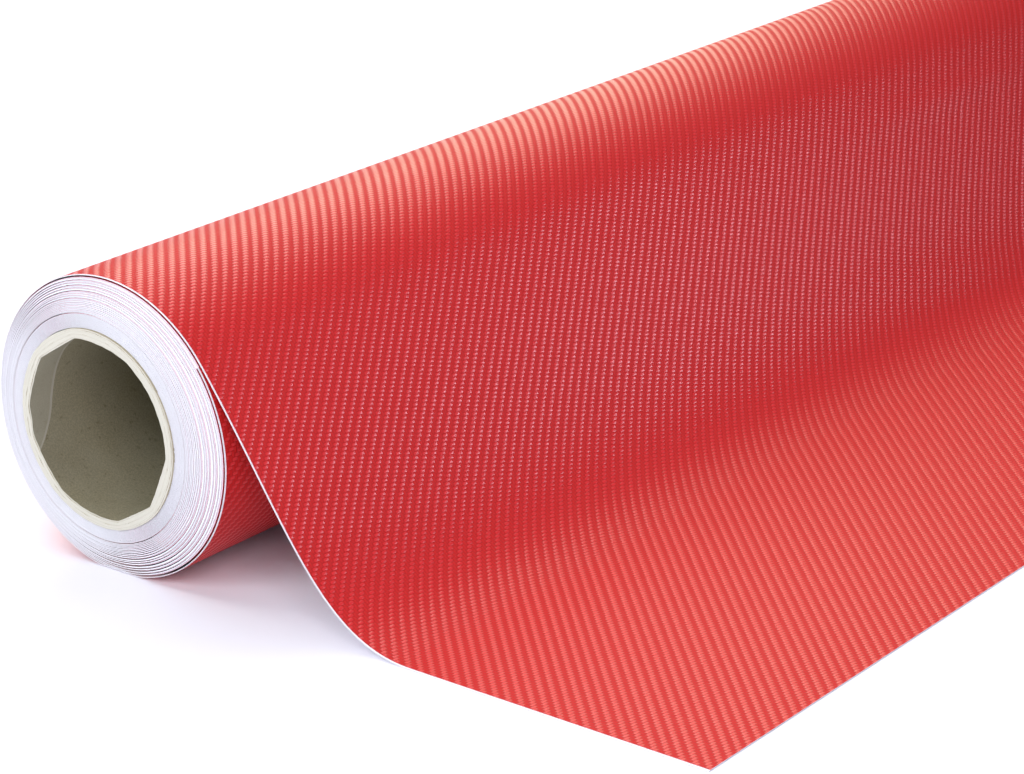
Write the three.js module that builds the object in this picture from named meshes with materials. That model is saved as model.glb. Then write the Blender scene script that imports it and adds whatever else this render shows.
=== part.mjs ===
// A roll of self-adhesive sign vinyl lying on its side, with its free end drawn off and laid flat.
//
// The roll's axis runs along Y and the web comes off towards +X. A red embossed face film, its
// adhesive and a white release liner are one web, wound with the film outwards on a paperboard core.
// The inner turns are tight and turn with the core. The outer turns are slack: they lie together on
// the side away from the free end, and stand apart on the side that it leaves from.
// Shapes are drawn across the roll as (x, z) outlines from the core's axis and extruded along Y.

import * as THREE from "three";

// Core, a tube of spirally wound paperboard.
const coreBore = 76.2;
const coreWall = 4;
const facePlyThickness = 0.5;
const boardBands = 2;
const coreProud = 1; // the core stands this far out of each end of the winding

// Web, a laminate of three layers.
const webWidth = 1220;
const filmThickness = 0.16;
const adhesiveThickness = 0.04;
const linerThickness = 0.16;
const linerShow = 0.5; // the liner shows this far past each side edge of the film

// Tape that holds the start of the web to the core.
const tapeWidth = 50;
const tapeThickness = 0.15;

// Winding.
const tightTurns = 15;
const looseTurns = 18;
const separateTurns = 8; // the outermost loose turns, which are modelled one by one
const slackX = 7.9; // how far the slack turns have opened towards the free end, and upwards
const slackZ = 2.2;
const slackGrowth = 2; // the gaps between turns grow outwards with this power
const floorPatchDepth = 0.9; // the roll's weight flattens its underside by this much

// Free end. It leaves the roll as a curve that ends flat on the floor.
const leaveAngle = 34; // degrees above the level of the core's axis
const leavePull = 70; // the curve's two handles, along the roll's tangent and along the floor
const footPull = 45;
const footX = 160; // where the curve meets the floor, from the core's axis
const footFlat = 12; // flat stretch between the curve and the line where the free end lifts
const tailLength = 125;
const peelLeg = 70; // sides of the corner of film that peels from the liner

// Clearances.
const layerGap = 0.01;
const spinClearance = 0.3;
const zoneGap = 0.3;

// How finely curves are cut.
const turnSegments = 60;
const drapeSegments = 18;
const tangentStep = 0.001; // fraction of a turn over which the roll's tangent is taken

// Each layer's two faces, as depths under the film's face, and half its width.
function stackLayers() {
  const filmSide = webWidth / 2 - linerShow;
  let depth = 0;
  return [
    ["film", filmThickness, filmSide],
    ["adhesive", adhesiveThickness, filmSide],
    ["liner", linerThickness, webWidth / 2],
  ].map(([name, thickness, side]) => {
    const layer = { name, side, top: depth, bottom: depth + thickness };
    depth = layer.bottom + layerGap;
    return layer;
  });
}
const layers = stackLayers();
const [film, , liner] = layers;
const webThickness = liner.bottom;

const turnPitch = webThickness + layerGap;
const coreRadius = coreBore / 2 + coreWall;
const packInner = coreRadius + tapeThickness + 2 * layerGap;
const packOuter = packInner + tightTurns * turnPitch;
const looseInner = packOuter + spinClearance;
const pressedRadius = looseInner + looseTurns * turnPitch;
const outlineRadius = pressedRadius + Math.hypot(slackX, slackZ);
const leave = THREE.MathUtils.degToRad(leaveAngle);

const materials = {
  film: new THREE.MeshStandardMaterial({ color: 0xcf2330, roughness: 0.42, metalness: 0 }),
  adhesive: new THREE.MeshStandardMaterial({ color: 0xc9cbc8, roughness: 0.3, metalness: 0 }),
  liner: new THREE.MeshStandardMaterial({ color: 0xf3f2f6, roughness: 0.6, metalness: 0 }),
  turns: new THREE.MeshStandardMaterial({ color: 0xe9e2ee, roughness: 0.7, metalness: 0 }),
  board: new THREE.MeshStandardMaterial({ color: 0xc2b48c, roughness: 0.95, metalness: 0 }),
  facePly: new THREE.MeshStandardMaterial({ color: 0x8a7f63, roughness: 0.95, metalness: 0 }),
  tape: new THREE.MeshStandardMaterial({ color: 0xd8cfae, roughness: 0.5, metalness: 0 }),
};

// Extrudes an outline in (x, z), with an optional hole, along Y between -side and +side.
function alongRoll(outline, hole, side) {
  const shape = new THREE.Shape(outline);
  if (hole) shape.holes.push(new THREE.Path(hole));
  const geometry = new THREE.ExtrudeGeometry(shape, { depth: 2 * side, bevelEnabled: false });
  return geometry.rotateX(Math.PI / 2).translate(0, side, 0);
}

// Extrudes an outline in (x, y) upwards between two heights.
function aboveFloor(outline, low, high) {
  const shape = new THREE.Shape(outline);
  const geometry = new THREE.ExtrudeGeometry(shape, { depth: high - low, bevelEnabled: false });
  return geometry.translate(0, 0, low);
}

function named(name, geometry, material) {
  const mesh = new THREE.Mesh(geometry, material);
  mesh.name = name;
  return mesh;
}

// Point at a radius and an angle about the core's axis, as seen from the near end.
function polar(radius, angle) {
  return new THREE.Vector2(radius * Math.cos(angle), radius * Math.sin(angle));
}

// The angle at a fraction of a turn, counted from where the web leaves the roll.
function turnAngle(fraction) {
  return leave + 2 * Math.PI * fraction;
}

function circle(radius) {
  const points = [];
  for (let i = 0; i < turnSegments; i++) points.push(polar(radius, turnAngle(i / turnSegments)));
  return points;
}

// Room that the slack leaves between the pressed stack and the outline of the roll.
function slackRoom(angle) {
  const along = slackX * Math.cos(angle) + slackZ * Math.sin(angle);
  const across = slackX * Math.sin(angle) - slackZ * Math.cos(angle);
  return along + Math.sqrt(outlineRadius ** 2 - across ** 2) - pressedRadius;
}

// Radius of the film's face on one of the loose turns. Turn 0 is the outermost, and the web spirals
// inwards by one turn's share of the pitch and of the slack as the fraction goes from 0 to 1.
function looseRadius(turn, fraction) {
  const level = looseTurns - turn - fraction;
  const share = (level / looseTurns) ** slackGrowth;
  return looseInner + level * turnPitch + share * slackRoom(turnAngle(fraction));
}

// The core's axis stands so high that the outermost turn's underside is pressed flat on the floor.
function lowestReach() {
  let reach = 0;
  for (let i = 0; i < turnSegments; i++) {
    const fraction = i / turnSegments;
    reach = Math.max(reach, -polar(looseRadius(0, fraction), turnAngle(fraction)).y);
  }
  return reach;
}
const coreHeight = lowestReach() - floorPatchDepth;

// Point on a loose turn, at a depth under its film's face, kept above the turns that it lies on.
function loosePoint(turn, fraction, depth) {
  const point = polar(looseRadius(turn, fraction) - depth, turnAngle(fraction));
  point.y = Math.max(point.y, turn * turnPitch + depth - coreHeight);
  return point;
}

// Outline of one turn between two depths, open by the zone gap at its inner end.
function turnOutline(turn, top, bottom) {
  const last = 1 - zoneGap / (2 * Math.PI * outlineRadius);
  const fractions = [];
  for (let i = 0; i < turnSegments; i++) fractions.push(i / turnSegments);
  fractions.push(last);
  const outer = fractions.map((f) => loosePoint(turn, f, top));
  const inner = fractions.map((f) => loosePoint(turn, f, bottom));
  return outer.concat(inner.reverse());
}

// Core: an inner ply, bands of board and an outer ply, each inside the next.
function makeCore() {
  const core = new THREE.Group();
  const side = webWidth / 2 + coreProud;
  const band = (coreWall - 2 * facePlyThickness) / boardBands;
  const plies = [["core_inner_ply", facePlyThickness, materials.facePly]];
  for (let i = 1; i <= boardBands; i++) plies.push([`core_board_${i}`, band, materials.board]);
  plies.push(["core_outer_ply", facePlyThickness, materials.board]);
  let radius = coreBore / 2;
  for (const [name, thickness, material] of plies) {
    const outside = circle(radius + thickness - layerGap);
    core.add(named(name, alongRoll(outside, circle(radius), side), material));
    radius += thickness;
  }
  return core;
}

// Tape along the core, over the arc that its width covers, and the tight turns over it.
function makeTightWinding() {
  const winding = new THREE.Group();
  const arcSteps = Math.round((tapeWidth * turnSegments) / (2 * Math.PI * coreRadius));
  const outer = [];
  const inner = [];
  for (let i = 0; i <= arcSteps; i++) {
    const angle = turnAngle(i / turnSegments);
    outer.push(polar(coreRadius + layerGap + tapeThickness, angle));
    inner.push(polar(coreRadius + layerGap, angle));
  }
  const tape = alongRoll(outer.concat(inner.reverse()), null, film.side);
  winding.add(named("start_tape", tape, materials.tape));
  const pack = alongRoll(circle(packOuter), circle(packInner), liner.side);
  winding.add(named("wound_pack", pack, materials.turns));
  return winding;
}

// Slack turns: a crescent for the inner ones, one node for each of the next, and the outermost
// turn in its three layers.
function makeLooseWinding() {
  const winding = new THREE.Group();
  const crescent = [];
  for (let i = 0; i <= turnSegments; i++) {
    crescent.push(loosePoint(separateTurns, i / turnSegments, 0));
  }
  const slack = alongRoll(crescent, circle(looseInner), liner.side);
  winding.add(named("slack_turns", slack, materials.turns));
  for (let turn = separateTurns - 1; turn > 0; turn--) {
    const outline = turnOutline(turn, 0, webThickness);
    winding.add(named(`web_turn_${turn + 1}`, alongRoll(outline, null, liner.side), materials.turns));
  }
  for (const layer of layers) {
    const outline = turnOutline(0, layer.top, layer.bottom);
    const geometry = alongRoll(outline, null, layer.side);
    winding.add(named(`${layer.name}_outer_turn`, geometry, materials[layer.name]));
  }
  return winding;
}

// Drape: the web's curve from the roll to the floor, and the flat foot after it.
function makeDrape() {
  const start = loosePoint(0, 0, 0);
  const justBefore = loosePoint(0, tangentStep, 0);
  const along = start.clone().sub(justBefore).normalize();
  const faceHeight = webThickness - coreHeight;
  const curve = new THREE.CubicBezierCurve(
    start,
    start.clone().addScaledVector(along, leavePull),
    new THREE.Vector2(footX - footPull, faceHeight),
    new THREE.Vector2(footX, faceHeight),
  );
  const first = zoneGap / (3 * leavePull);
  const stations = [];
  for (let i = 0; i <= drapeSegments; i++) {
    const t = first + (1 - first) * (i / drapeSegments);
    const tangent = curve.getTangent(t);
    stations.push({ point: curve.getPoint(t), down: new THREE.Vector2(tangent.y, -tangent.x) });
  }
  stations.at(-1).point.y = faceHeight;
  stations.at(-1).down.set(0, -1);
  const foot = new THREE.Vector2(footX + footFlat - zoneGap / 2, faceHeight);
  stations.push({ point: foot, down: new THREE.Vector2(0, -1) });
  const drape = new THREE.Group();
  for (const layer of layers) {
    const face = (depth) => stations.map((s) => s.point.clone().addScaledVector(s.down, depth));
    const outline = face(layer.bottom).concat(face(layer.top).reverse());
    const geometry = alongRoll(outline, null, layer.side);
    drape.add(named(`${layer.name}_drape`, geometry, materials[layer.name]));
  }
  return drape;
}

// Tail: the end of the web, flat on the floor, with the corner of film that peels cut out of it.
function makeTail() {
  const tail = new THREE.Group();
  const back = footX + footFlat + zoneGap / 2;
  const front = footX + footFlat + tailLength;
  const floor = -coreHeight;
  const cut = peelLeg + zoneGap * Math.SQRT2;
  for (const layer of layers) {
    const low = floor + webThickness - layer.bottom;
    const high = floor + webThickness - layer.top;
    const near = -layer.side;
    const sheet = [new THREE.Vector2(front, layer.side), new THREE.Vector2(back, layer.side)];
    sheet.push(new THREE.Vector2(back, near));
    if (layer === liner) sheet.push(new THREE.Vector2(front, near));
    else {
      sheet.push(new THREE.Vector2(front - cut, near));
      sheet.push(new THREE.Vector2(front, near + cut));
      const corner = [
        new THREE.Vector2(front - peelLeg, near),
        new THREE.Vector2(front, near),
        new THREE.Vector2(front, near + peelLeg),
      ];
      const piece = aboveFloor(corner, low, high);
      tail.add(named(`${layer.name}_corner`, piece, materials[layer.name]));
    }
    tail.add(named(`${layer.name}_tail`, aboveFloor(sheet, low, high), materials[layer.name]));
  }
  return tail;
}

const roll = new THREE.Group();
roll.add(makeCore(), makeTightWinding(), makeLooseWinding(), makeDrape(), makeTail());

// The origin is on the floor, under the middle of the whole outline.
const box = new THREE.Box3().setFromObject(roll);
roll.position.set(-(box.min.x + box.max.x) / 2, 0, coreHeight);
const group = new THREE.Group();
group.add(roll);

export default group;
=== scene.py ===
"""A roll of sign vinyl on its side, its free end drawn off the roll and laid flat.

The web is three layers: a red face film embossed with a 2/2 twill, an adhesive coat and a white
release liner. It is wound with the film outwards on a paperboard core whose axis runs along Y.
Sizes are in metres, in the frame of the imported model.
"""

import logging
import math
from dataclasses import dataclass, field
from enum import Enum

import bpy
import numpy as np
from bpy.types import ID, Material, Node, NodeSocket, Object
from mathutils import Matrix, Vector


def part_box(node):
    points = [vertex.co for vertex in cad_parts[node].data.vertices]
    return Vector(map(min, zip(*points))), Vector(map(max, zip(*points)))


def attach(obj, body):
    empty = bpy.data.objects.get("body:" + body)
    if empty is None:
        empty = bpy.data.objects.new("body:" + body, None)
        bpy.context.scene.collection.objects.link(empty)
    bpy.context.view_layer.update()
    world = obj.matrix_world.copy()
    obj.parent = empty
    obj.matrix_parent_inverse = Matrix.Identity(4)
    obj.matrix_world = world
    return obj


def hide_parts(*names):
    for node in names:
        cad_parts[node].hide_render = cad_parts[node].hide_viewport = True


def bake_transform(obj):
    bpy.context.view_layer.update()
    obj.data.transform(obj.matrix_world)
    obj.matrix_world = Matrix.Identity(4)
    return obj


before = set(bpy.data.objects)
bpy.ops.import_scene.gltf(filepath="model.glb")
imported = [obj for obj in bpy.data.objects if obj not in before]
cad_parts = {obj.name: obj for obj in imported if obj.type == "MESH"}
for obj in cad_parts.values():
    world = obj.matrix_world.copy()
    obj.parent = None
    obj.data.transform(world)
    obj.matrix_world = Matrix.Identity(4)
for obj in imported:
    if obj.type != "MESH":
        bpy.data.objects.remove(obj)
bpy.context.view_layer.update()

log = logging.getLogger("roll_of_vinyl")
MM = 0.001
HINGE_GAP = 0.15 * MM  # from the drape's end to the line about which the free end lifts
FIRST_FLAT = 50 * MM  # flat stretch past that line that the outer turn's sheet includes


class Body(Enum):
    """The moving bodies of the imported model."""

    WEB = "web"
    ROLL = "wound_roll"
    FREE_END = "free_end"
    CORNER = "peeled_corner"


class Slot(Enum):
    """The record's material slots, passed along with new pieces but not given to them."""

    FILM = "film"
    ADHESIVE = "adhesive"
    LINER = "liner"
    BOARD = "core_board"
    LINING = "core_lining"


class Math(Enum):
    """Operations of Blender's Math node that the finishes use."""

    ADD = "ADD"
    SUBTRACT = "SUBTRACT"
    MULTIPLY = "MULTIPLY"
    DIVIDE = "DIVIDE"
    FLOOR = "FLOOR"
    FRACTION = "FRACT"
    MODULO = "FLOORED_MODULO"
    GREATER = "GREATER_THAN"
    LESS = "LESS_THAN"
    ABSOLUTE = "ABSOLUTE"


Colour = tuple[float, float, float]
Point = tuple[float, float, float]
Feed = NodeSocket | float | Colour


# --------------------------------------------------------------------------------------------
# Finishes


class Graph:
    """Builds the node tree of one material around its Principled shader."""

    def __init__(self, name: str) -> None:
        """Starts a material.

        Args:
            name: the material's name.
        """
        self.material: Material = bpy.data.materials.new(name)
        self.material.use_nodes = True
        self.tree = self.material.node_tree
        self.shader: Node = self.tree.nodes["Principled BSDF"]

    def feed(self, socket: NodeSocket, value: Feed) -> None:
        """Links a socket to another, or sets its value.

        Args:
            socket: the input to fill.
            value: an output socket, a number or a colour.
        """
        if isinstance(value, NodeSocket):
            self.tree.links.new(value, socket)
        elif isinstance(value, tuple) and len(socket.default_value) == 4:
            socket.default_value = (*value, 1.0)
        else:
            socket.default_value = value

    def node(self, kind: str, **inputs: Feed) -> Node:
        """Adds a node.

        Args:
            kind: the node's type name, without the leading ShaderNode.
            inputs: values by socket name, with underscores for spaces.

        Returns:
            The new node.
        """
        made = self.tree.nodes.new(f"ShaderNode{kind}")
        for name, value in inputs.items():
            self.feed(made.inputs[name.replace("_", " ")], value)
        return made

    def calc(self, operation: Math, *values: Feed) -> NodeSocket:
        """Works out one operation on numbers.

        Args:
            operation: what is done.
            values: its operands, in order.

        Returns:
            The result's socket.
        """
        made = self.tree.nodes.new("ShaderNodeMath")
        made.operation = operation.value
        for socket, value in zip(made.inputs, values):
            self.feed(socket, value)
        return made.outputs[0]

    def between(self, share: Feed, low: Feed, high: Feed) -> NodeSocket:
        """Mixes two colours or two numbers.

        Args:
            share: how much of the second one shows, from 0 to 1.
            low: what shows at 0.
            high: what shows at 1.

        Returns:
            The mixed socket.
        """
        made = self.tree.nodes.new("ShaderNodeMix")
        colours = isinstance(low, tuple) or isinstance(high, tuple)
        if isinstance(low, NodeSocket) and low.type == "RGBA":
            colours = True
        made.data_type = "RGBA" if colours else "FLOAT"
        first = 6 if colours else 2
        self.feed(made.inputs[0], share)
        self.feed(made.inputs[first], low)
        self.feed(made.inputs[first + 1], high)
        return made.outputs[2 if colours else 0]

    def tinted(self, base: Feed, mask: Feed, share: float, colour: Feed) -> NodeSocket:
        """Mixes a colour over a base where a mask shows, by no more than a share."""
        return self.between(self.calc(Math.MULTIPLY, mask, share), base, colour)

    def stepped(self, value: Feed, low: float, high: float) -> NodeSocket:
        """Rescales a number so that low gives 0 and high gives 1, smoothly and no further.

        Args:
            value: the number.
            low: the value that gives 0.
            high: the value that gives 1.

        Returns:
            The rescaled socket.
        """
        made = self.tree.nodes.new("ShaderNodeMapRange")
        made.interpolation_type = "SMOOTHSTEP"
        self.feed(made.inputs["Value"], value)
        made.inputs["From Min"].default_value = low
        made.inputs["From Max"].default_value = high
        return made.outputs[0]

    def place(self, on_object: bool = False) -> NodeSocket:
        """The point being shaded.

        Args:
            on_object: take the object's own coordinates in metres and not its UV map.

        Returns:
            The vector's socket.
        """
        if on_object:
            return self.tree.nodes.new("ShaderNodeTexCoord").outputs["Object"]
        made = self.tree.nodes.new("ShaderNodeUVMap")
        made.uv_map = "layout"
        return made.outputs[0]

    def split(self, vector: NodeSocket) -> tuple[NodeSocket, NodeSocket, NodeSocket]:
        """Splits a vector into its three numbers."""
        made = self.node("SeparateXYZ", Vector=vector)
        return made.outputs[0], made.outputs[1], made.outputs[2]

    def joined(self, x: Feed, y: Feed, z: Feed) -> NodeSocket:
        """Joins three numbers into a vector."""
        return self.node("CombineXYZ", X=x, Y=y, Z=z).outputs[0]

    def noise(self, vector: NodeSocket, scale: float, detail: float = 2.0) -> NodeSocket:
        """Fractal noise from 0 to 1.

        Args:
            vector: where it is read.
            scale: features per metre.
            detail: number of finer octaves.

        Returns:
            The noise's socket.
        """
        return self.node("TexNoise", Vector=vector, Scale=scale, Detail=detail).outputs[0]

    def bump(self, height: Feed, distance: float, under: Feed | None = None) -> NodeSocket:
        """Turns a height from 0 to 1 into a surface normal.

        Args:
            height: the height.
            distance: how high 1 is, in metres.
            under: a normal that it adds to.

        Returns:
            The normal's socket.
        """
        made = self.node("Bump", Height=height, Distance=distance)
        if under is not None:
            self.feed(made.inputs["Normal"], under)
        return made.outputs[0]

    def shade(self, **inputs: Feed) -> Material:
        """Fills the shader's inputs, named with underscores for spaces, and gives the material."""
        for name, value in inputs.items():
            self.feed(self.shader.inputs[name.replace("_", " ")], value)
        return self.material


@dataclass(frozen=True)
class EmbossedFilm:
    """Red cast film pressed with a 2/2 twill, so that each tow's float is a small shining dome."""

    tow: float = 1.5 * MM
    relief: float = 0.12 * MM
    along_relief: float = 0.9
    along_red: Colour = (0.53, 0.005, 0.005)
    # Painted sheen: the floats across u are a lighter red than those along it.
    across_red_painted_sheen: Colour = (0.64, 0.024, 0.028)
    # Painted shade: a darker red in the grooves, shown below this share of a float's height, so the
    # crowns look lit.
    groove_painted_shade: Colour = (0.44, 0.004, 0.004)
    painted_shade_height: float = 0.55
    along_roughness: float = 0.64
    across_roughness: float = 0.27
    cloud_scale: float = 0.006
    cloud_roughness: float = 0.06
    ior: float = 1.4

    def material(self) -> Material:
        """Makes the film's finish.

        The weave's cell is (i, j) = the whole parts of (u, v) over the tow's width, and
        k = (i + j) mod 4. Where k is 0 or 1 a tow along u is on top, elsewhere one along v. Each
        float is two cells long, and its height is (1 - across squared) x (1 - along squared), both
        running from -1 to 1 over the float. The floats along u are lower and duller than those
        across it, and the floats across it are a lighter red, a painted sheen. Where the height is
        low the colour darkens to a painted groove shade, so the crowns look lit. A slow noise over
        the cells varies the roughness.

        Returns:
            The material.
        """
        g = Graph("embossed_film")
        u, v, _ = g.split(g.place())
        u = g.calc(Math.DIVIDE, u, self.tow)
        v = g.calc(Math.DIVIDE, v, self.tow)
        part_u = g.calc(Math.FRACTION, u)
        part_v = g.calc(Math.FRACTION, v)
        cells = g.calc(Math.ADD, g.calc(Math.FLOOR, u), g.calc(Math.FLOOR, v))
        k = g.calc(Math.MODULO, cells, 4.0)
        crossing = g.calc(Math.GREATER, k, 1.5)
        along_u = g.calc(Math.SUBTRACT, g.calc(Math.ADD, k, part_u), 1.0)
        along_v = g.calc(Math.SUBTRACT, g.calc(Math.ADD, k, part_v), 3.0)
        along = g.between(crossing, along_u, along_v)
        side = g.between(crossing, part_v, part_u)
        across = g.calc(Math.SUBTRACT, g.calc(Math.MULTIPLY, side, 2.0), 1.0)
        end = g.calc(Math.SUBTRACT, 1.0, g.calc(Math.MULTIPLY, along, along))
        round_ = g.calc(Math.SUBTRACT, 1.0, g.calc(Math.MULTIPLY, across, across))
        dome = g.calc(Math.MULTIPLY, end, round_)
        # Painted sheen and shade: floats across u take the lighter red, and the colour darkens to
        # the painted groove shade where the dome is low.
        tone = g.between(crossing, self.along_red, self.across_red_painted_sheen)
        colour = g.between(g.stepped(dome, 0.0, self.painted_shade_height), self.groove_painted_shade, tone)
        dome = g.calc(Math.MULTIPLY, dome, g.between(crossing, self.along_relief, 1.0))
        cloud = g.noise(g.joined(u, v, 0.0), self.cloud_scale, 1.0)
        rough = g.between(crossing, self.along_roughness, self.across_roughness)
        rough = g.calc(Math.ADD, rough, g.calc(Math.MULTIPLY, cloud, self.cloud_roughness))
        normal = g.bump(dome, self.relief)
        return g.shade(Base_Color=colour, Roughness=rough, Normal=normal, IOR=self.ior)


@dataclass(frozen=True)
class PlainCoat:
    """A smooth layer with faint mottling: the liner's paper, a slit edge or the adhesive."""

    name: str
    colour: Colour
    shadow: Colour
    roughness: float
    grain: float = 900.0
    grains_in_cloud: float = 30.0
    roughness_swing: float = 0.05
    relief: float = 0.004 * MM
    specular: float = 0.5

    def material(self) -> Material:
        """Makes the finish: two tones by a fine noise, with the same noise as grain.

        Returns:
            The material.
        """
        g = Graph(self.name)
        place = g.place(on_object=True)
        fine = g.noise(place, self.grain, 3.0)
        broad = g.noise(place, self.grain / self.grains_in_cloud, 2.0)
        colour = g.between(g.calc(Math.MULTIPLY, fine, broad), self.colour, self.shadow)
        swing = self.roughness_swing
        rough = g.between(broad, self.roughness - swing, self.roughness + swing)
        normal = g.bump(fine, self.relief)
        return g.shade(
            Base_Color=colour, Roughness=rough, Normal=normal, Specular_IOR_Level=self.specular
        )


@dataclass(frozen=True)
class BoardPaper:
    """Grey-brown paperboard with fibres, and the open seam of its spirally wound ply."""

    name: str
    fibre: Colour
    dark: Colour
    pale: Colour
    seam: Colour
    fibre_scale: float = 1500.0
    cloud_scale: float = 60.0
    blotch_scale: float = 420.0
    cloud_show: float = 0.35
    lead: float = 262 * MM
    seam_width: float = 0.003
    seam_show: float = 0.3
    lap_depth: float = 0.0
    lap_middle: float = 0.422
    lap_half: float = 0.15
    # Share of the crescent's paler tint, a painted light where light falls in at the bore's mouth.
    painted_light_show: float = 0.55
    lap_height: float = 2.0
    border_show: float = 0.7
    near_end: float = -0.611
    relief: float = 0.05 * MM
    roughness: float = 0.86
    specular: float = 0.25

    def material(self) -> Material:
        """Makes the finish.

        The spiral seam is a thin line where v over the lead plus u is a whole number, u being the
        share of a turn about the core. The outer ply laps into the bore over part of the near
        lip: a crescent where (v - near end) / depth is under 1 - ((u - middle) / half) to the
        fourth, raised a little, with a thin light line along its border. The crescent is also
        tinted paler, a painted light where light falls in at the bore's mouth.

        Returns:
            The material.
        """
        g = Graph(self.name)
        u, v, _ = g.split(g.place())
        phase = g.calc(Math.FRACTION, g.calc(Math.ADD, g.calc(Math.DIVIDE, v, self.lead), u))
        place = g.place(on_object=True)
        fibres = g.noise(place, self.fibre_scale, 4.0)
        cloud = g.noise(place, self.cloud_scale, 3.0)
        blotch = g.noise(place, self.blotch_scale, 2.0)
        base = g.between(g.stepped(fibres, 0.3, 0.7), self.dark, self.fibre)
        base = g.tinted(base, cloud, self.cloud_show, self.pale)
        base = g.between(g.stepped(blotch, 0.62, 0.75), base, self.dark)
        seam = g.calc(Math.LESS, phase, self.seam_width)
        base = g.tinted(base, seam, self.seam_show, self.seam)
        height = fibres
        if self.lap_depth:
            side = g.calc(Math.DIVIDE, g.calc(Math.SUBTRACT, u, self.lap_middle), self.lap_half)
            side = g.calc(Math.MULTIPLY, side, side)
            border = g.calc(Math.SUBTRACT, 1.0, g.calc(Math.MULTIPLY, side, side))
            depth = g.calc(Math.DIVIDE, g.calc(Math.SUBTRACT, v, self.near_end), self.lap_depth)
            room = g.calc(Math.SUBTRACT, border, depth)
            lap_and_painted_light = g.stepped(room, 0.0, 0.03)
            # Painted light: the crescent is tinted paler, as where light falls in at the bore's
            # mouth.
            base = g.tinted(base, lap_and_painted_light, self.painted_light_show, self.pale)
            line = g.stepped(g.calc(Math.ABSOLUTE, room), 0.06, 0.03)
            base = g.tinted(base, line, self.border_show, self.seam)
            height = g.calc(Math.ADD, height, g.calc(Math.MULTIPLY, lap_and_painted_light, self.lap_height))
        return g.shade(
            Base_Color=base,
            Roughness=self.roughness,
            Normal=g.bump(height, self.relief),
            Specular_IOR_Level=self.specular,
        )


@dataclass(frozen=True)
class CutBoard:
    """The cut end of the core's wall: cream paper with the thin lines of its plies."""

    name: str = "cut_board"
    cream: Colour = (0.53, 0.51, 0.44)
    line: Colour = (0.36, 0.31, 0.21)
    fibre: Colour = (0.68, 0.66, 0.59)
    ply: float = 1.25 * MM
    wander: float = 0.3 * MM
    wander_scale: float = 60.0
    fibre_scale: float = 2200.0
    line_show: float = 0.4
    fibre_show: float = 0.3
    relief: float = 0.04 * MM
    roughness: float = 0.9
    specular: float = 0.2

    def material(self) -> Material:
        """Makes the finish: lines at equal steps of v, which runs through the wall.

        Returns:
            The material.
        """
        g = Graph(self.name)
        place = g.place(on_object=True)
        _, v, _ = g.split(g.place())
        wander = g.calc(Math.MULTIPLY, g.noise(place, self.wander_scale, 2.0), self.wander)
        phase = g.calc(Math.FRACTION, g.calc(Math.DIVIDE, g.calc(Math.ADD, v, wander), self.ply))
        edge = g.stepped(g.calc(Math.ABSOLUTE, g.calc(Math.SUBTRACT, phase, 0.5)), 0.43, 0.49)
        fibres = g.noise(place, self.fibre_scale, 4.0)
        base = g.tinted(self.cream, edge, self.line_show, self.line)
        base = g.tinted(base, fibres, self.fibre_show, self.fibre)
        height = g.calc(Math.SUBTRACT, fibres, edge)
        return g.shade(
            Base_Color=base,
            Roughness=self.roughness,
            Normal=g.bump(height, self.relief),
            Specular_IOR_Level=self.specular,
        )


@dataclass(frozen=True)
class Finishes:
    """Every finish of the roll, made once."""

    film: Material
    film_edge: Material
    liner: Material
    wound_edge: Material
    adhesive: Material
    board: Material
    lining: Material
    cut: Material
    tape: Material

    @staticmethod
    def make() -> "Finishes":
        """Makes the finishes."""
        return Finishes(
            film=EmbossedFilm().material(),
            film_edge=PlainCoat(
                "film_edge", (0.68, 0.52, 0.59), (0.60, 0.39, 0.47), 0.5
            ).material(),
            liner=PlainCoat(
                "liner_paper", (0.90, 0.90, 0.93), (0.84, 0.84, 0.88), 0.42
            ).material(),
            wound_edge=PlainCoat(
                "slit_paper", (0.70, 0.72, 0.76), (0.64, 0.64, 0.70), 0.7, specular=0.2
            ).material(),
            adhesive=PlainCoat(
                "adhesive_coat", (0.72, 0.72, 0.70), (0.64, 0.63, 0.60), 0.22, 300.0
            ).material(),
            board=BoardPaper(
                "core_kraft",
                (0.52, 0.46, 0.33),
                (0.40, 0.34, 0.24),
                (0.6, 0.55, 0.43),
                (0.3, 0.26, 0.18),
            ).material(),
            lining=BoardPaper(
                "core_lining_paper",
                (0.32, 0.285, 0.18),
                (0.22, 0.195, 0.118),
                (0.43, 0.41, 0.325),
                (0.56, 0.53, 0.45),
                lap_depth=13 * MM,
            ).material(),
            cut=CutBoard().material(),
            tape=PlainCoat("paper_tape", (0.70, 0.63, 0.46), (0.6, 0.52, 0.36), 0.55).material(),
        )


# --------------------------------------------------------------------------------------------
# Mesh building


def grid_quads(rows: int, columns: int, first: int = 0, wrap: bool = False) -> np.ndarray:
    """Quads between the points of a grid that is stored row by row.

    Args:
        rows: number of rows.
        columns: number of points in a row.
        first: index of the grid's first point.
        wrap: join the last row to the first.

    Returns:
        An array of four point indices for each quad.
    """
    starts = np.arange(rows if wrap else rows - 1)[:, None] * columns
    here = starts + np.arange(columns - 1)[None, :]
    after = (here + columns) % (rows * columns) if wrap else here + columns
    quads = np.stack([here, here + 1, after + 1, after], axis=-1)
    return quads.reshape(-1, 4) + first


def turned_out(points: np.ndarray, quads: np.ndarray) -> np.ndarray:
    """Turns a closed shell's faces outwards.

    The volume is a sixth of the sum, over the triangles, of a . (b x c), and it is negative where
    the faces look inwards.

    Args:
        points: the shell's points.
        quads: its faces.

    Returns:
        The faces, reversed if they looked inwards.
    """
    a, b, c, d = (points[quads[:, i]] for i in range(4))
    volume = (a * np.cross(b, c)).sum() + (a * np.cross(c, d)).sum()
    return quads if volume > 0 else quads[:, ::-1]


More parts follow.
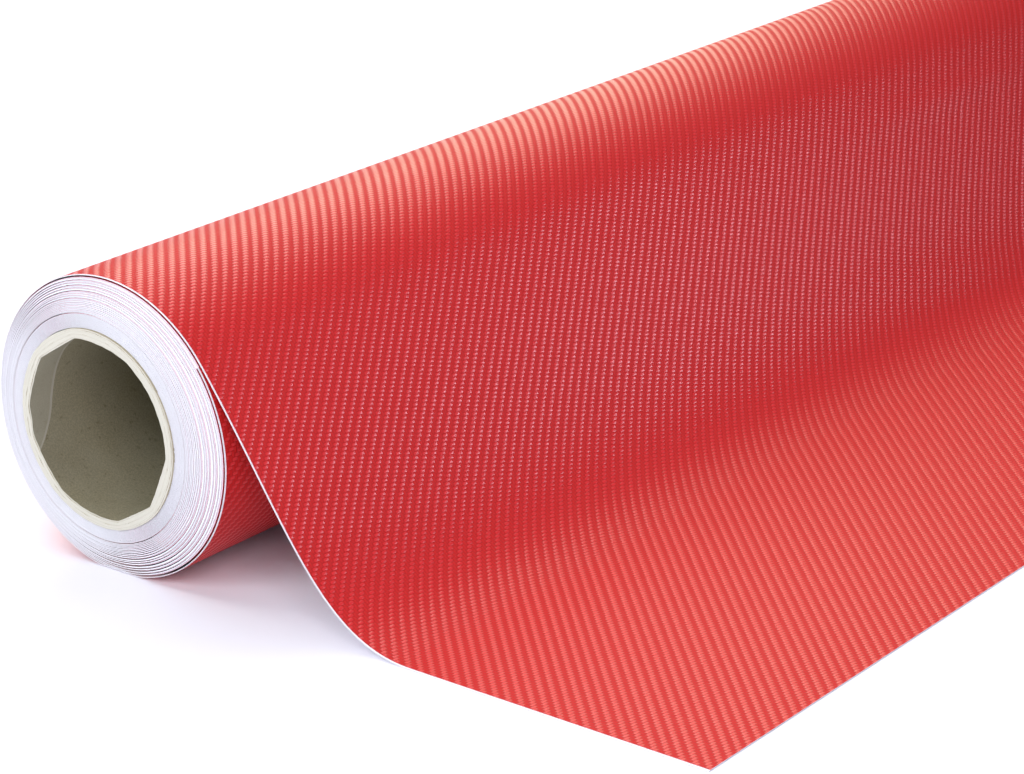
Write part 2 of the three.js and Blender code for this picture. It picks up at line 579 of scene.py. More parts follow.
def put_mesh(
    name: str,
    points: np.ndarray,
    quads: np.ndarray,
    layout: np.ndarray,
    materials: list[Material],
    kinds: np.ndarray,
    crease: float = 40.0,
) -> Object:
    """Makes a shaded mesh object at the origin.

    Args:
        name: the piece's name.
        points: one row for each point.
        quads: four point indices for each face.
        layout: the pattern's (u, v) at each corner of each face, face by face.
        materials: the piece's finishes.
        kinds: which finish each face takes.
        crease: the angle between faces, in degrees, from which an edge is sharp.

    Returns:
        The object.
    """
    mesh = bpy.data.meshes.new(name)
    mesh.from_pydata(points.tolist(), [], quads.tolist())
    uv = mesh.uv_layers.new(name="layout")
    uv.data.foreach_set("uv", layout.reshape(-1).astype(np.float32))
    for material in materials:
        mesh.materials.append(material)
    mesh.polygons.foreach_set("material_index", kinds.astype(np.int32))
    mesh.polygons.foreach_set("use_smooth", np.ones(len(quads), dtype=bool))
    mesh.set_sharp_from_angle(angle=math.radians(crease))
    mesh.update()
    made = bpy.data.objects.new(name, mesh)
    bpy.context.scene.collection.objects.link(made)
    return made


def sheet_solid(
    name: str,
    top: np.ndarray,
    bottom: np.ndarray,
    layout: np.ndarray,
    materials: list[Material],
) -> Object:
    """Makes a thin closed sheet from its two faces.

    The two grids are joined by strips along their four borders. The first finish goes on the top
    face, the second on the strips and the third on the underside.

    Args:
        name: the piece's name.
        top: grid of points of the upper face, rows by columns by 3.
        bottom: the same for the underside.
        layout: the pattern's (u, v) on that grid.
        materials: the three finishes.

    Returns:
        The object.
    """
    rows, columns = top.shape[:2]
    count = rows * columns
    points = np.concatenate([top.reshape(-1, 3), bottom.reshape(-1, 3)])
    index = np.arange(count).reshape(rows, columns)
    border = np.concatenate([index[0, :-1], index[:-1, -1], index[-1, :0:-1], index[:0:-1, 0]])
    after = np.roll(border, -1)
    upper = grid_quads(rows, columns)
    under = grid_quads(rows, columns, count)[:, ::-1]
    strips = np.stack([border, border + count, after + count, after], axis=-1)
    quads = turned_out(points, np.concatenate([upper, under, strips]))
    flat = np.tile(layout.reshape(-1, 2), (2, 1))
    kinds = np.repeat([0, 2, 1], [len(upper), len(under), len(strips)])
    return put_mesh(name, points, quads, flat[quads], materials, kinds)


def on_body(piece: Object, body: Body, slot: Slot, *nodes: str) -> Object:
    """Lets a piece ride on a body in place of some CAD nodes.

    Args:
        piece: the piece.
        body: the body it moves with.
        slot: the record's slot that its finish belongs to; not used.
        nodes: the nodes that it stands for.

    Returns:
        The piece.
    """
    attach(piece, body.value)
    if nodes:
        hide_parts(*nodes)
    report(piece, body)
    return piece


def report(piece: Object, body: Body) -> None:
    """Logs a finished piece, its body and its number of faces."""
    log.info("%s on %s: %d faces", piece.name, body.value, len(piece.data.polygons))


# --------------------------------------------------------------------------------------------
# The winding's shape


@dataclass(frozen=True)
class Layer:
    """One layer of the web: its two faces' depths under the film's face, and half its width."""

    top: float
    bottom: float
    side: float


FILM = Layer(0.0, 0.16 * MM, 609.5 * MM)
ADHESIVE = Layer(0.17 * MM, 0.21 * MM, 609.5 * MM)
LINER = Layer(0.22 * MM, 0.38 * MM, 610 * MM)


@dataclass(frozen=True)
class Winding:
    """Sizes of the roll, and the spiral that its web follows.

    A place along the spiral is a number of turns, 0 where the web leaves the roll and growing
    inwards. Seen from the near end with x to the right, the spiral runs counter-clockwise.
    """

    axis_x: float
    axis_z: float
    core_radius: float = 42.1 * MM
    pitch: float = 0.39 * MM
    tight_turns: int = 15
    loose_turns: int = 18
    leave: float = math.radians(34)
    slack_x: float = 7.9 * MM
    slack_z: float = 2.2 * MM
    tape: float = 0.17 * MM
    spin_gap: float = 0.3 * MM
    free_height: float = 4 * MM
    outer_share: float = (17 / 18) ** 2
    gaps: tuple[float, ...] = (
        0.4, 0.5, 0.5, 0.7, 0.6, 0.9, 0.7, 1.2, 0.8, 2.6, 0.9, 1.0, 3.2, 1.2, 2.6, 1.0, 2.4,
    )

    @property
    def pack_inner(self) -> float:
        """Inner radius of the tight turns."""
        return self.core_radius + self.tape

    @property
    def loose_inner(self) -> float:
        """Inner radius of the loose turns."""
        return self.pack_inner + self.tight_turns * self.pitch + self.spin_gap

    @property
    def pressed_radius(self) -> float:
        """Outer radius that the roll would have with no slack."""
        return self.loose_inner + self.loose_turns * self.pitch

    def angle(self, turns: np.ndarray) -> np.ndarray:
        """Direction from the axis: the leaving angle plus a full turn for each turn."""
        return self.leave + 2 * math.pi * turns

    def slack_room(self, angle: np.ndarray) -> np.ndarray:
        """Room between the pressed stack and the roll's outline, which is a circle off the axis.

        The radius of a circle whose centre is at (sx, sz) is (s . a) + sqrt(R squared - (s x a)
        squared) in the direction a.

        Args:
            angle: directions from the axis.

        Returns:
            The room in each direction.
        """
        outline = self.pressed_radius + math.hypot(self.slack_x, self.slack_z)
        along = self.slack_x * np.cos(angle) + self.slack_z * np.sin(angle)
        across = self.slack_x * np.sin(angle) - self.slack_z * np.cos(angle)
        return along + np.sqrt(outline**2 - across**2) - self.pressed_radius

    def slack_share(self, level: np.ndarray) -> np.ndarray:
        """Share of the slack under a turn, from 0 inside to 1 at the outermost face.

        It runs straight between the turns' own shares, which add up the uneven gaps.

        Args:
            level: number of turns below this place.

        Returns:
            The share at each level.
        """
        steps = np.concatenate([[0.0], np.cumsum(self.gaps)])
        steps = np.append(steps / steps[-1] * self.outer_share, 1.0)
        return np.interp(level, np.arange(self.loose_turns + 1), steps)

    def loose(self, turns: np.ndarray, depth: float) -> np.ndarray:
        """Points of the loose spiral, at a depth under the film's face.

        The radius is the inner radius, plus the pitch for each turn below, plus that level's share
        of the slack. A turn's underside stays above the floor by the turns that it lies on.

        Args:
            turns: places along the spiral.
            depth: depth under the film's face.

        Returns:
            A row (x, z) for each place.
        """
        level = self.loose_turns - turns
        angle = self.angle(turns)
        radius = self.loose_inner + level * self.pitch
        radius = radius + self.slack_share(level) * self.slack_room(angle) - depth
        floor = np.minimum(np.floor(turns), self.loose_turns - 1) * self.pitch + depth
        x = self.axis_x + radius * np.cos(angle)
        z = np.maximum(self.axis_z + radius * np.sin(angle), floor)
        return np.stack([x, z], axis=-1)

    def play(self, turns: np.ndarray) -> np.ndarray:
        """Free room outside a loose turn, which fades to nothing where the turn nears the floor.

        Args:
            turns: places along the spiral.

        Returns:
            The room at each place.
        """
        level = self.loose_turns - turns
        room = self.slack_room(self.angle(turns))
        room = room * (self.slack_share(level + 1) - self.slack_share(level))
        floor = np.minimum(np.floor(turns), self.loose_turns - 1) * self.pitch
        height = self.loose(turns, 0.0)[:, 1] - floor
        return room * np.clip(height / self.free_height, 0.0, 1.0)

    def tight(self, turns: np.ndarray, depth: float) -> np.ndarray:
        """Points of the tight spiral: a radius that falls by one pitch in each turn.

        Args:
            turns: places along it, 0 at its outer end.
            depth: depth under the film's face.

        Returns:
            A row (x, z) for each place.
        """
        radius = self.pack_inner + (self.tight_turns - turns) * self.pitch - depth
        angle = self.angle(turns)
        x = self.axis_x + radius * np.cos(angle)
        return np.stack([x, self.axis_z + radius * np.sin(angle)], axis=-1)


@dataclass(frozen=True)
class Ripple:
    """A soft buckle of the sheet: its middle, its half lengths and its height."""

    s: float
    y: float
    half_s: float
    half_y: float
    slant: float
    height: float

    def over(self, s: np.ndarray, y: np.ndarray) -> np.ndarray:
        """Height of the buckle: a bell in both directions, on axes slanted in the sheet.

        Args:
            s: lengths along the web.
            y: places across it.

        Returns:
            The height at each point.
        """
        ds, dy = s - self.s, y - self.y
        a = ds * math.cos(self.slant) + dy * math.sin(self.slant)
        b = dy * math.cos(self.slant) - ds * math.sin(self.slant)
        return self.height * np.exp(-((a / self.half_s) ** 2) - (b / self.half_y) ** 2)


@dataclass
class Course:
    """The web's way from the outermost turn over the drape to its front edge.

    Lengths along it are 0 where the web leaves the roll and positive towards the front edge.
    """

    winding: Winding
    hinge_x: float
    front_x: float
    leave_pull: float = 70 * MM
    foot_pull: float = 45 * MM
    foot_back: float = 12 * MM
    tangent_turn: float = 0.001
    turn_steps: int = 130
    drape_steps: int = 64
    flat_steps: int = 54
    ripples: tuple[Ripple, ...] = (
        Ripple(15 * MM, -70 * MM, 7 * MM, 65 * MM, 0.0, 0.9 * MM),
        Ripple(97 * MM, -140 * MM, 8 * MM, 75 * MM, -0.2, 0.9 * MM),
    )
    length: np.ndarray = field(init=False)
    normal: np.ndarray = field(init=False)

    def __post_init__(self) -> None:
        """Measures the course along the film's face."""
        face = self.line(0.0)
        steps = np.hypot(*np.diff(face, axis=0).T)
        run = np.concatenate([[0.0], np.cumsum(steps)])
        self.length = run - run[self.turn_steps]
        tangent = np.gradient(face, self.length, axis=0)
        tangent /= np.linalg.norm(tangent, axis=1, keepdims=True)
        self.normal = np.stack([-tangent[:, 1], tangent[:, 0]], axis=-1)

    def drape(self, depth: float) -> np.ndarray:
        """The curve from the roll to the floor, a cubic with its handles along roll and floor.

        A point at share t is (1-t)^3 a + 3 t (1-t)^2 b + 3 t^2 (1-t) c + t^3 d, moved down its
        normal by the depth.

        Args:
            depth: depth under the film's face.

        Returns:
            A row (x, z) for each step after the first.
        """
        start, before = self.winding.loose(np.array([0.0, self.tangent_turn]), 0.0)
        along = (start - before) / np.linalg.norm(start - before)
        foot = np.array([self.hinge_x - self.foot_back, LINER.bottom])
        handles = start, start + along * self.leave_pull, foot - [self.foot_pull, 0.0], foot
        t = np.linspace(0.0, 1.0, self.drape_steps + 1)[1:, None]
        a, b, c, d = handles
        point = (1 - t) ** 3 * a + 3 * t * (1 - t) ** 2 * b + 3 * t**2 * (1 - t) * c + t**3 * d
        slope = (1 - t) ** 2 * (b - a) + 2 * t * (1 - t) * (c - b) + t**2 * (d - c)
        slope /= np.linalg.norm(slope, axis=1, keepdims=True)
        return point + depth * np.stack([slope[:, 1], -slope[:, 0]], axis=-1)

    def line(self, depth: float) -> np.ndarray:
        """The whole course at a depth: the outermost turn, the drape and the flat end.

        The turn is read a hair before its whole numbers, so that its level over the floor is the
        outermost one's all the way round.

        Args:
            depth: depth under the film's face.

        Returns:
            A row (x, z) for each step.
        """
        hair = 1e-9
        turn = self.winding.loose(np.linspace(1.0, 0.0, self.turn_steps + 1) - hair, depth)
        x = np.linspace(self.hinge_x - self.foot_back, self.front_x, self.flat_steps + 1)[1:]
        flat = np.stack([x, np.full_like(x, LINER.bottom - depth)], axis=-1)
        return np.concatenate([turn, self.drape(depth), flat])

    def step_at(self, x: float) -> int:
        """Index of the flat end's step that is nearest to a place along X."""
        return int(np.argmin(np.abs(self.line(0.0)[-self.flat_steps :, 0] - x))) - self.flat_steps

    def surface(self, depth: float, first: int, last: int, across: np.ndarray) -> np.ndarray:
        """A face of one layer between two steps of the course.

        Args:
            depth: depth under the film's face.
            first: the first step.
            last: the step after the last one.
            across: places across the web, one row for each step or one row for all.

        Returns:
            Grid of points, steps by places by 3.
        """
        line = self.line(depth)[first:last]
        normal = self.normal[first:last]
        across = np.broadcast_to(across, (len(line), across.shape[-1]))
        s = np.broadcast_to(self.length[first:last, None], across.shape)
        lift = sum((ripple.over(s, across) for ripple in self.ripples), np.zeros_like(s))
        x = line[:, None, 0] + normal[:, None, 0] * lift
        z = line[:, None, 1] + normal[:, None, 1] * lift
        return np.stack([x, across, z], axis=-1)

    def layout(self, first: int, last: int, across: np.ndarray) -> np.ndarray:
        """The pattern's place on that face: length along the web, and place across it.

        Args:
            first: the first step.
            last: the step after the last one.
            across: places across the web, one row for each step or one row for all.

        Returns:
            Grid of (u, v), steps by places by 2.
        """
        s = self.length[first:last, None]
        across = np.broadcast_to(across, (len(s), across.shape[-1]))
        return np.stack([np.broadcast_to(s, across.shape), across], axis=-1)


# --------------------------------------------------------------------------------------------
# Sub-assemblies


@dataclass
class FreeWeb:
    """The outermost turn, the drape and the flat end, in the web's three layers."""

    course: Course
    finishes: Finishes
    split_x: float
    corner: tuple[float, float]
    peel_span: float = 30 * MM
    lift_span: float = 40 * MM
    columns: int = 44
    fine_columns: int = 46
    fine_width: float = 115 * MM
    liner_show: float = 0.5 * MM

    def build(self) -> None:
        """Builds and dresses the film, the adhesive and the liner."""
        finish = self.finishes
        film = [finish.film, finish.film_edge, finish.film_edge]
        glue = [finish.adhesive, finish.adhesive, finish.adhesive]
        paper = [finish.liner, finish.wound_edge, finish.liner]
        self.face_and_end("film", FILM, Slot.FILM, film)
        self.face_and_end("adhesive", ADHESIVE, Slot.ADHESIVE, glue)
        self.whole_liner(paper)

    def across(self, side: float, fine: bool) -> np.ndarray:
        """Places across the web, closer together near the corner that peels.

        Args:
            side: half the layer's width.
            fine: whether the corner's closer places are wanted.

        Returns:
            The places, in rising order.
        """
        if not fine:
            return np.linspace(-side, side, self.columns + 1)
        near = np.linspace(-side, -side + self.fine_width, self.fine_columns + 1)
        far = np.linspace(-side + self.fine_width, side, self.columns + 1)[1:]
        return np.concatenate([near, far])

    def face_and_end(
        self, name: str, layer: Layer, slot: Slot, materials: list[Material]
    ) -> None:
        """Builds one layer as the part that lifts and the part that peels.

        Args:
            name: the layer's name.
            layer: its depths and width.
            slot: the record's slot; not used.
            materials: finishes of its face, edges and underside.
        """
        split = self.course.step_at(self.split_x)
        total = len(self.course.length)
        spans = [
            (f"{name}_web", 0, total + split + 1, False),
            (f"{name}_free_end", total + split, total, True),
        ]
        for title, first, last, fine in spans:
            across = self.across(layer.side, fine)
            piece = sheet_solid(
                title,
                self.course.surface(layer.top, first, last, across),
                self.course.surface(layer.bottom, first, last, across),
                self.course.layout(first, last, across),
                materials,
            )
            span = float(self.course.length[last - 1] - self.course.length[first])
            rests = title.replace("film", "adhesive") if name == "film" else "liner_web"
            if fine:
                self.peeling(piece, span, layer, rests)
                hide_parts(f"{name}_tail", f"{name}_corner")
            else:
                self.lifting(piece, span, layer, rests)
                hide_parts(f"{name}_outer_turn", f"{name}_drape")

    def lifting(self, piece: Object, span: float, layer: Layer, rests: str) -> None:
        """Bakes a sheet's place into its mesh and logs it. The line about which the free end lifts
        from the floor is worked out, but the sheet is not made to bend there.

        Args:
            piece: the sheet.
            span: its length along the web.
            layer: its layer.
            rests: what it lies on.
        """
        hinge = self.course.hinge_x
        level = LINER.bottom
        start, end = (hinge, 0.0, level), (hinge + self.lift_span, 0.0, level)
        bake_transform(piece)
        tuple(start)
        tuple(end)
        self.declare(piece, Body.WEB, span, layer, rests)

    def peeling(self, piece: Object, span: float, layer: Layer, rests: str) -> None:
        """Bakes a sheet's place into its mesh and logs it. The line along which its near front
        corner would curl off the liner is worked out, but the sheet is not made to curl.

        Args:
            piece: the sheet.
            span: its length along the web.
            layer: its layer.
            rests: what it lies on.
        """
        x, y = self.corner
        reach = self.peel_span / math.sqrt(2)
        level = LINER.bottom
        start, end = (x, y, level), (x + reach, y - reach, level)
        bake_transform(piece)
        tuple(start)
        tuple(end)
        self.declare(piece, Body.FREE_END, span, layer, rests)

    def declare(self, piece: Object, body: Body, span: float, layer: Layer, rests: str) -> None:
        """Logs the piece with a body's name and its number of faces."""
        report(piece, body)

    def whole_liner(self, materials: list[Material]) -> None:
        """Builds the liner in one piece, a little further out at the near front corner.

        Args:
            materials: finishes of its face, edges and underside.
        """
        course = self.course
        even = self.across(LINER.side, False)
        out = np.clip(course.length / course.length[-1], 0.0, 1.0)[:, None]
        across = even - self.liner_show * out**2 * (even < -LINER.side + MM)
        total = len(course.length)
        piece = sheet_solid(
            "liner_web",
            course.surface(LINER.top, 0, total, across),
            course.surface(LINER.bottom, 0, total, across),
            course.layout(0, total, across),
            materials,
        )
        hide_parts("liner_outer_turn", "liner_drape", "liner_tail")
        span = float(course.length[-1] - course.length[0])
        self.lifting(piece, span, LINER, "slack_liner")


@dataclass
class WoundWeb:
    """The turns under the outermost one, as continuous spirals of film, adhesive and liner."""

    winding: Winding
    finishes: Finishes
    steps_per_turn: int = 96
    wander: float = 0.14 * MM
    tight_wander: float = 0.35
    far_wander: float = 0.8
    loose_seed: int = 7
    tight_seed: int = 11
    rim: float = 1.0 * MM
    splay_out: float = 0.25
    splay_in: float = 0.4

    def build(self) -> None:
        """Builds and dresses the slack turns and the tight ones."""
        finish = self.finishes
        looks = {
            "film": (FILM, Slot.FILM, [finish.film, finish.film_edge, finish.film_edge]),
            "adhesive": (ADHESIVE, Slot.ADHESIVE, [finish.adhesive] * 3),
            "liner": (LINER, Slot.LINER, [finish.liner, finish.wound_edge, finish.liner]),
        }
        slack = tuple(f"web_turn_{n}" for n in range(8, 1, -1))
        nodes = {"film": slack, "liner": ("slack_turns",)}
        last = float(self.winding.loose_turns)
        tight = float(self.winding.tight_turns)
        for name, (layer, slot, materials) in looks.items():
            piece = self.spiral(f"slack_{name}", 1.0, last, True, layer, materials)
            on_body(piece, Body.WEB, slot, *nodes.get(name, ()))
            self.declare(piece, layer, self.run(1.0, last, True))
            piece = self.spiral(f"tight_{name}", 0.0, tight, False, layer, materials)
            on_body(piece, Body.ROLL, slot, *(("wound_pack",) if name == "liner" else ()))
            self.declare(piece, layer, self.run(0.0, tight, False))

    def declare(self, piece: Object, layer: Layer, length: float) -> None:
        """Takes a wound sheet's layer and length, and does nothing with them."""

    def stations(self, first: float, last: float) -> np.ndarray:
        """Places along a spiral, evenly spaced in turns."""
        return np.linspace(first, last, int((last - first) * self.steps_per_turn) + 1)

    def run(self, first: float, last: float, loose: bool) -> float:
        """Length of a spiral along its film's face."""
        turns = self.stations(first, last)
        line = self.winding.loose(turns, 0.0) if loose else self.winding.tight(turns, 0.0)
        return float(np.hypot(*np.diff(line, axis=0).T).sum())

    def offsets(self, turns: np.ndarray, loose: bool) -> np.ndarray:
        """How far each place's edges stand out or in: slow waves plus a step for each turn.

        Args:
            turns: places along the spiral.
            loose: the loose turns wander more than the tight ones.

        Returns:
            The offset at each place.
        """
        seed = np.random.default_rng(self.loose_seed if loose else self.tight_seed)
        knots = np.arange(0, 40)
        steps = seed.uniform(-1.0, 1.0, len(knots))
        waves = 0.4 * np.sin(2 * math.pi * 0.31 * turns + 1.0)
        waves = waves + 0.3 * np.sin(2 * math.pi * 1.13 * turns)
        reach = self.wander if loose else self.tight_wander * self.wander
        return reach * (waves + np.interp(turns, knots, steps))

    def spiral(
        self,
        name: str,
        first: float,
        last: float,
        loose: bool,
        layer: Layer,
        materials: list[Material],
    ) -> Object:
        """One layer of a spiral: its outline carried straight across the web.

        The slit edges are frayed: over the last millimetre the film's face rises by a share of
        the room outside its turn, and the liner's back sinks by a share of the room inside it.

        Args:
            name: the piece's name.
            first: place where it starts, in turns.
            last: place where it ends.
            loose: loose turns, or tight ones.
            layer: the layer's depths and width.
            materials: finishes of its face, edges and underside.

        Returns:
            The object.
        """
        turns = self.stations(first, last)
        line = self.winding.loose if loose else self.winding.tight
        out = self.offsets(turns, loose)
        near, far = -layer.side - out, layer.side + out * self.far_wander
        side = np.stack([near, near + self.rim, far - self.rim, far], axis=-1)
        outside = inside = np.zeros_like(turns)
        if loose:
            outside = self.splay_out * self.winding.play(turns) * (layer is FILM)
            inside = self.splay_in * self.winding.play(turns + 1) * (layer is LINER)
        faces = []
        for depth, splay in ((layer.top, -outside), (layer.bottom, inside)):
            flat, rim = line(turns, depth), line(turns, depth + splay)
            point = np.stack([rim, flat, flat, rim], axis=1)
            faces.append(np.stack([point[..., 0], side, point[..., 1]], axis=-1))
        face = line(turns, 0.0)
        run = np.concatenate([[0.0], np.cumsum(np.hypot(*np.diff(face, axis=0).T))])
        layout = np.stack([np.broadcast_to(-run[:, None], side.shape), side], axis=-1)
        return sheet_solid(name, faces[0], faces[1], layout, materials)


@dataclass(frozen=True)
class Dent:
    """A flattened stretch of the core's lip: its direction, half width and depth."""

    degrees: float
    half: float
    depth: float


@dataclass
class Core:
    """The paperboard core: nested plies whose lips are cut a little unevenly and dented."""

    winding: Winding
    finishes: Finishes
    bore: float = 38.1 * MM
    half: float = 611 * MM
    face_ply: float = 0.5 * MM
    wall: float = 4 * MM
    gap: float = 0.01 * MM
    around: int = 288
    crease: float = 50.0
    dent_reach: float = 9 * MM
    dent_fall: float = 1.4
    outer_hold: float = 0.85
    fray: float = 0.06 * MM
    insets_mm: tuple[float, ...] = (0, 0.4, 1, 2, 3.5, 5.5, 8, 11, 15, 20, 30, 60, 150, 350, 560)
    dents: tuple[Dent, ...] = (
        Dent(122, 18, 1.8 * MM),
        Dent(81, 22, 0.9 * MM),
        Dent(50, 9, 0.5 * MM),
        Dent(25, 28, 0.5 * MM),
        Dent(-24, 19, 1.7 * MM),
        Dent(-60, 16, 1.3 * MM),
        Dent(-100, 23, 0.6 * MM),
        Dent(-145, 19, 0.9 * MM),
        Dent(-174, 8, 0.7 * MM),
        Dent(159, 18, 1.1 * MM),
    )

    def build(self) -> None:
        """Builds and dresses the four bands of ply."""
        finish = self.finishes
        band = (self.wall - 2 * self.face_ply) / 2
        edges = np.cumsum([self.bore, self.face_ply, band, band, self.face_ply])
        plies = [
            ("core_lining_wall", Slot.LINING, "core_inner_ply", finish.lining, 0.25),
            ("core_band_1", Slot.BOARD, "core_board_1", finish.board, 0.05),
            ("core_band_2", Slot.BOARD, "core_board_2", finish.board, 0.0),
            ("core_outer_ply_wall", Slot.BOARD, "core_outer_ply", finish.board, 0.2),
        ]
        for i, (name, slot, node, material, short) in enumerate(plies):
            inner, outer = float(edges[i]), float(edges[i + 1]) - self.gap
            piece = self.ply(name, inner, outer, short * MM, material)
            on_body(piece, Body.ROLL, slot, node)

    def dented(self, degrees: np.ndarray, inset: np.ndarray) -> np.ndarray:
        """How far the lip is pushed inwards.

        Each dent is a flat: its depth falls with the square of the distance from its middle, and
        stops at its half width. Along the core it dies away as e to the minus (inset / reach) to
        the power of the fall.

        Args:
            degrees: directions about the axis, one row.
            inset: distances from the nearer end, one column.

        Returns:
            Grid of depths, insets by directions.
        """
        depth = np.zeros_like(degrees)
        for dent in self.dents:
            away = (degrees - dent.degrees + 180) % 360 - 180
            depth = np.maximum(depth, dent.depth * (1 - (away / dent.half) ** 2))
        return depth[None, :] * np.exp(-((inset[:, None] / self.dent_reach) ** self.dent_fall))

    def rings(self, inner: float, outer: float, short: float) -> tuple[np.ndarray, np.ndarray]:
        """One band's surface: out along the bore, then back along its outside.

        The dents push the wall's outside in less than its bore, by the hold. The lip is frayed by
        two sine waves round the axis, which die away over a millimetre.

        Args:
            inner: the band's inner radius.
            outer: its outer radius.
            short: how far its ends stand back.

        Returns:
            Grid of points, rings by directions by 3, and each ring's place along Y.
        """
        insets = np.array(self.insets_mm) * MM
        y = np.concatenate([-self.half + short + insets, (self.half - short - insets)[::-1]])
        inset = np.concatenate([insets, insets[::-1]])
        angle = 2 * math.pi * np.linspace(0.0, 1.0, self.around + 1)
        push = self.dented(np.degrees(angle), inset)
        fray = np.sin(17 * angle + 90 * outer / MM) + np.sin(41 * angle + inner / MM)
        fray = self.fray * fray[None, :] * np.exp(-inset[:, None] / MM) * np.sign(y)[:, None]
        sides = []
        for radius in (inner, outer):
            r = radius - push * (1.0 - self.outer_hold * (radius - self.bore) / self.wall)
            x = self.winding.axis_x + r * np.cos(angle)
            z = self.winding.axis_z + r * np.sin(angle)
            sides.append(np.stack([x, np.broadcast_to(y[:, None], x.shape) - fray, z], axis=-1))
        return np.concatenate([sides[0], sides[1][::-1]]), np.concatenate([y, y[::-1]])

    def ply(
        self, name: str, inner: float, outer: float, short: float, material: Material
    ) -> Object:
        """One band, closed round the axis and at both ends.

        The pattern runs round the axis and along Y, and on the two cut ends round the axis and
        through the wall. The last column of points lies on the first, and is joined to it.

        Args:
            name: the piece's name.
            inner: the band's inner radius.
            outer: its outer radius.
            short: how far its ends stand back.
            material: its finish along the bore and the outside.

        Returns:
            The object.
        """
        grid, along = self.rings(inner, outer, short)
        rows, columns = grid.shape[:2]
        points = grid.reshape(-1, 3)
        quads = grid_quads(rows, columns, wrap=True)
        last_inner = rows // 2 - 1
        row = quads[:, 0] // columns
        ends = (row == last_inner) | (row == rows - 1)
        turn = np.linspace(0.0, 1.0, columns)[None, :]
        depth = np.where(np.arange(rows) <= last_inner, inner, outer)
        length_wise = np.stack(np.broadcast_arrays(turn, along[:, None]), axis=-1)
        through = np.stack(np.broadcast_arrays(turn, depth[:, None]), axis=-1)
        layout = np.where(
            ends[:, None, None], through.reshape(-1, 2)[quads], length_wise.reshape(-1, 2)[quads]
        )
        outward = turned_out(points, quads)
        if outward is not quads:
            layout = layout[:, ::-1]
        joined = np.arange(rows * columns).reshape(rows, columns)
        joined[:, -1] = joined[:, 0]
        used, quads = np.unique(joined.reshape(-1)[outward], return_inverse=True)
        quads = quads.reshape(-1, 4)
        finishes = [material, self.finishes.cut]
        return put_mesh(
            name, points[used], quads, layout, finishes, ends.astype(int), self.crease
        )


@dataclass
class StartTape:
    """The tape that holds the start of the web to the core, which keeps its CAD shape."""

    finishes: Finishes

    def build(self) -> None:
        """Gives the tape its finish."""
        mesh = bpy.data.objects["start_tape"].data
        mesh.materials.clear()
        mesh.materials.append(self.finishes.tape)


def placed(name: str, data: ID, place: Point, axes: list[np.ndarray]) -> Object:
    """Puts a light or a camera in the scene.

    Args:
        name: its name.
        data: the light or the camera.
        place: where it stands.
        axes: the directions of its own X, Y and Z.

    Returns:
        The object.
    """
    made = bpy.data.objects.new(name, data)
    turn = Matrix(np.column_stack(axes).tolist()).to_4x4()
    made.matrix_world = Matrix.Translation(place) @ turn
    bpy.context.scene.collection.objects.link(made)
    return made


@dataclass
class Softbox:
    """A square area light that looks at a point, its beam kept within a spread in degrees."""

    name: str
    place: Point
    target: Point
    size: tuple[float, float]
    power: float
    colour: Colour
    spread: float = 180.0
    upward: Point = (0.0, 1.0, 0.01)

    def build(self) -> None:
        """Makes the light and turns it to its target."""
        data = bpy.data.lights.new(self.name, "AREA")
        data.shape = "RECTANGLE"
        data.size, data.size_y = self.size
        data.energy = self.power
        data.color = self.colour
        data.spread = math.radians(self.spread)
        back = np.array(self.place) - np.array(self.target)
        back /= np.linalg.norm(back)
        right = np.cross(self.upward, back)
        right /= np.linalg.norm(right)
        placed(self.name, data, self.place, [right, np.cross(back, right), back])


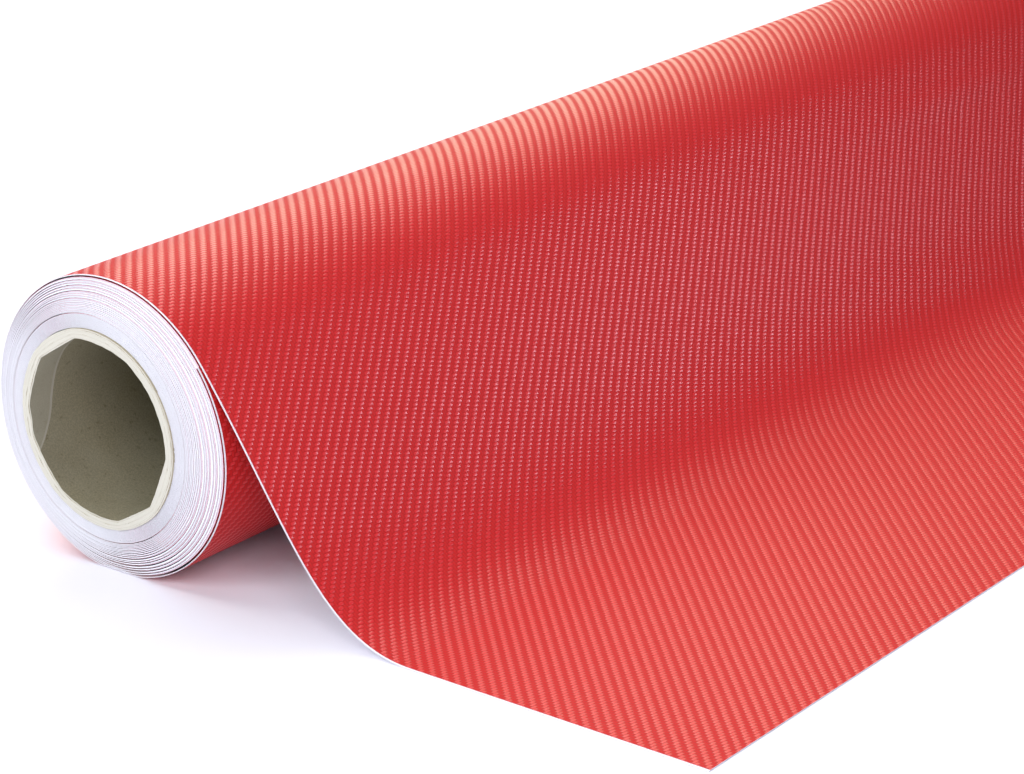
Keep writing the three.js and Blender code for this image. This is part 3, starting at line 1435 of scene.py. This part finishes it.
@dataclass
class Studio:
    """A pale floor, soft lights and the camera, whose angles are in degrees."""

    floor_colour: Colour = (0.90, 0.89, 0.96)
    sky: Colour = (0.86, 0.91, 1.0)
    sky_strength: float = 0.23
    eye: Point = (0.73817, -1.42189, 0.51540)
    yaw: float = -38.576
    pitch: float = 20.6155
    roll: float = -0.8833
    lens: float = 110.87
    sensor: float = 36.0
    reach: float = 9.0
    floor_drop: float = 0.2 * MM
    floor_pale: Colour = (0.93, 0.93, 0.97)
    boxes: tuple[Softbox, ...] = (
        Softbox(
            "overhead",
            place=(-1.0, 0.1, 2.0),
            target=(0.0, -0.2, 0.0),
            size=(3.0, 3.0),
            power=61.0,
            colour=(1.0, 0.98, 0.95),
        ),
        Softbox(
            "back_left",
            place=(-2.2, 2.5, 1.55),
            target=(-0.1, -0.2, 0.0),
            size=(3.0, 1.6),
            power=38.0,
            colour=(1.0, 0.86, 0.62),
        ),
        Softbox(
            "camera_side",
            place=(0.95, -1.35, 0.78),
            target=(0.0, -0.1, 0.05),
            size=(0.8, 0.6),
            power=8.0,
            colour=(0.97, 0.93, 1.0),
        ),
        Softbox(
            "beads",
            place=(0.95, 1.1, 0.55),
            target=(-0.15, -0.8, 0.08),
            size=(0.6, 0.5),
            power=0.42,
            colour=(0.98, 0.84, 1.0),
            spread=28.0,
        ),
        Softbox(
            "near",
            place=(-0.45, -2.5, 0.9),
            target=(-0.1, -0.5, 0.05),
            size=(1.6, 1.6),
            power=39.0,
            colour=(0.92, 0.96, 1.0),
        ),
    )

    def build(self) -> None:
        """Makes the whole stage."""
        self.lay_floor()
        self.light()
        self.set_camera()

    def lay_floor(self) -> None:
        """Lays a large matt floor just under the roll."""
        side = np.linspace(-self.reach, self.reach, 3)
        x, y = np.meshgrid(side, side)
        points = np.stack([x, y, np.full_like(x, -self.floor_drop)], axis=-1).reshape(-1, 3)
        quads = grid_quads(3, 3)
        g = Graph("studio_floor")
        soft = g.noise(g.place(on_object=True), 1.2, 1.0)
        colour = g.tinted(self.floor_colour, soft, 0.1, self.floor_pale)
        material = g.shade(Base_Color=colour, Roughness=0.9, Specular_IOR_Level=0.1)
        kinds = np.zeros(len(quads))
        floor = put_mesh("floor", points, quads, points[quads][..., :2], [material], kinds)

    def light(self) -> None:
        """Sets the even sky and the softboxes."""
        world = bpy.data.worlds.new("studio")
        world.use_nodes = True
        ground = world.node_tree.nodes["Background"]
        ground.inputs[0].default_value = (*self.sky, 1.0)
        ground.inputs[1].default_value = self.sky_strength
        bpy.context.scene.world = world
        for box in self.boxes:
            box.build()

    def set_camera(self) -> None:
        """Sets the camera: yaw about the vertical, then pitch down, then roll about its axis."""
        yaw, pitch, roll = (math.radians(a) for a in (self.yaw, self.pitch, self.roll))
        ahead = np.array(
            [math.sin(yaw) * math.cos(pitch), math.cos(yaw) * math.cos(pitch), -math.sin(pitch)]
        )
        level = np.array([math.cos(yaw), -math.sin(yaw), 0.0])
        above = np.cross(level, ahead)
        right = math.cos(roll) * level + math.sin(roll) * above
        up = math.cos(roll) * above - math.sin(roll) * level
        data = bpy.data.cameras.new("view")
        data.sensor_width = self.sensor
        data.lens = self.lens
        bpy.context.scene.camera = placed("view", data, self.eye, [right, up, -ahead])


def middle(node: str) -> np.ndarray:
    """Middle of a CAD node's box."""
    low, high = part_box(node)
    return (np.array(low) + np.array(high)) / 2


def main() -> None:
    """Builds the roll, piece by piece, and the studio round it."""
    logging.basicConfig(level=logging.INFO, format="%(name)s: %(message)s")
    bpy.context.scene.view_settings.view_transform = "Standard"
    axis = middle("core_outer_ply")
    winding = Winding(axis_x=float(axis[0]), axis_z=float(axis[2]))
    hinge_x = float(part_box("film_drape")[1][0]) + HINGE_GAP
    front_x = float(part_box("film_tail")[1][0])
    corner = middle("film_corner")
    finishes = Finishes.make()
    course = Course(winding, hinge_x, front_x)
    FreeWeb(course, finishes, hinge_x + FIRST_FLAT, (float(corner[0]), float(corner[1]))).build()
    WoundWeb(winding, finishes).build()
    Core(winding, finishes).build()
    StartTape(finishes).build()
    Studio().build()


if __name__ == "__main__":
    main()
